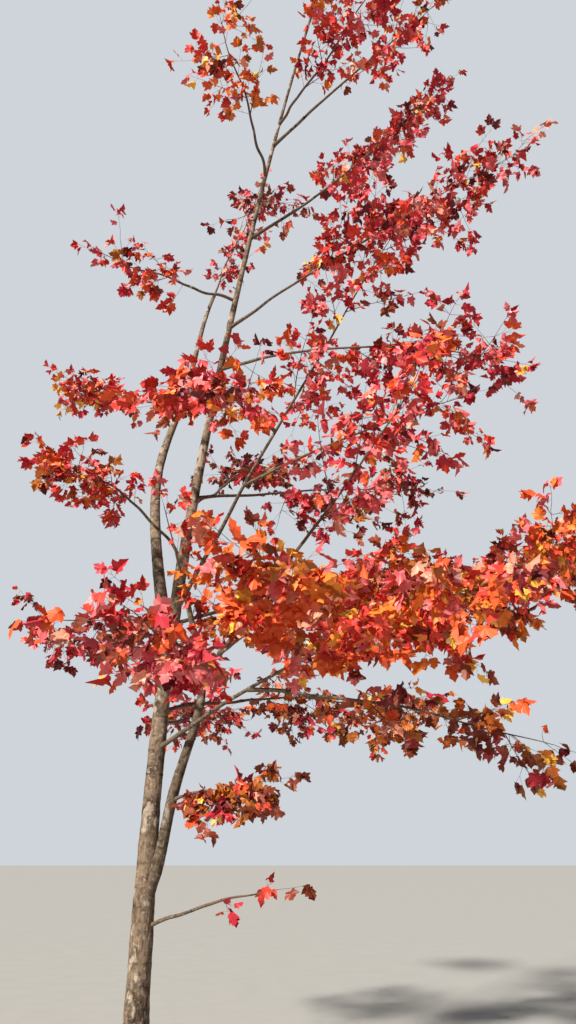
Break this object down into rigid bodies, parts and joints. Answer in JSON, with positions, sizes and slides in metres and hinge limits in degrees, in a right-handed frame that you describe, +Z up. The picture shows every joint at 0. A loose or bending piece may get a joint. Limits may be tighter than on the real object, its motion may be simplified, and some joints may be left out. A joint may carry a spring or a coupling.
{
  "type": "red maple tree",
  "caption": "Young deciduous tree in autumn leaf: a leaning trunk with side stems, and an airy one-sided crown of tapering boughs that carry twigs with red and orange leaves.",
  "frame": {"origin": "middle of the flat cut under the trunk, at ground level", "axes": "+Z up along the foot of the trunk, +X to the right and +Y away from the viewer in the picture; the crown reaches furthest towards +X"},
  "size_m": [5.0415, 5.5702, 10.0904],
  "materials": {
    "bark": "smooth grey-brown bark with darker blotches and rings",
    "crimson_leaves": "matt crimson autumn leaves",
    "scarlet_leaves": "matt scarlet autumn leaves",
    "orange_leaves": "matt orange autumn leaves",
    "maroon_leaves": "matt dark maroon autumn leaves"
  },
  "bodies": {
    "root": {"trunk": "bark", "right_stem": "bark", "left_stem": "bark", "foot_bough": "bark", "under_bough": "bark", "low_right_bough": "bark", "low_hanging_bough": "bark", "low_left_bough": "bark", "low_front_bough": "bark", "near_bough": "bark", "mid_right_bough": "bark", "far_right_bough": "bark", "low_back_right_bough": "bark", "low_back_bough": "bark", "low_back_left_bough": "bark", "mid_left_bough": "bark", "mid_back_bough": "bark", "long_bough": "bark", "middle_bough": "bark", "mid_front_bough": "bark", "back_right_bough": "bark", "upper_right_bough": "bark", "upper_left_bough": "bark", "left_back_bough": "bark", "high_right_bough": "bark", "high_back_bough": "bark", "high_back_right_bough": "bark", "high_left_bough": "bark", "high_front_bough": "bark", "top_right_bough": "bark", "trunk_leaves": "scarlet_leaves", "right_stem_leaves": "scarlet_leaves", "left_stem_leaves": "crimson_leaves", "foot_leaves": "maroon_leaves", "under_leaves": "orange_leaves", "low_right_leaves": "orange_leaves", "low_hanging_leaves": "maroon_leaves", "low_left_leaves": "crimson_leaves", "low_front_leaves": "scarlet_leaves", "near_leaves": "crimson_leaves", "mid_right_leaves": "orange_leaves", "far_right_leaves": "scarlet_leaves", "low_back_right_leaves": "orange_leaves", "low_back_leaves": "scarlet_leaves", "low_back_left_leaves": "crimson_leaves", "mid_left_leaves": "scarlet_leaves", "mid_back_leaves": "maroon_leaves", "long_leaves": "crimson_leaves", "middle_leaves": "crimson_leaves", "mid_front_leaves": "orange_leaves", "back_right_leaves": "scarlet_leaves", "upper_right_leaves": "crimson_leaves", "upper_left_leaves": "scarlet_leaves", "left_back_leaves": "scarlet_leaves", "high_right_leaves": "crimson_leaves", "high_back_leaves": "maroon_leaves", "high_back_right_leaves": "scarlet_leaves", "high_left_leaves": "orange_leaves", "high_front_leaves": "scarlet_leaves", "top_right_leaves": "crimson_leaves"}
  },
  "joints": []
}
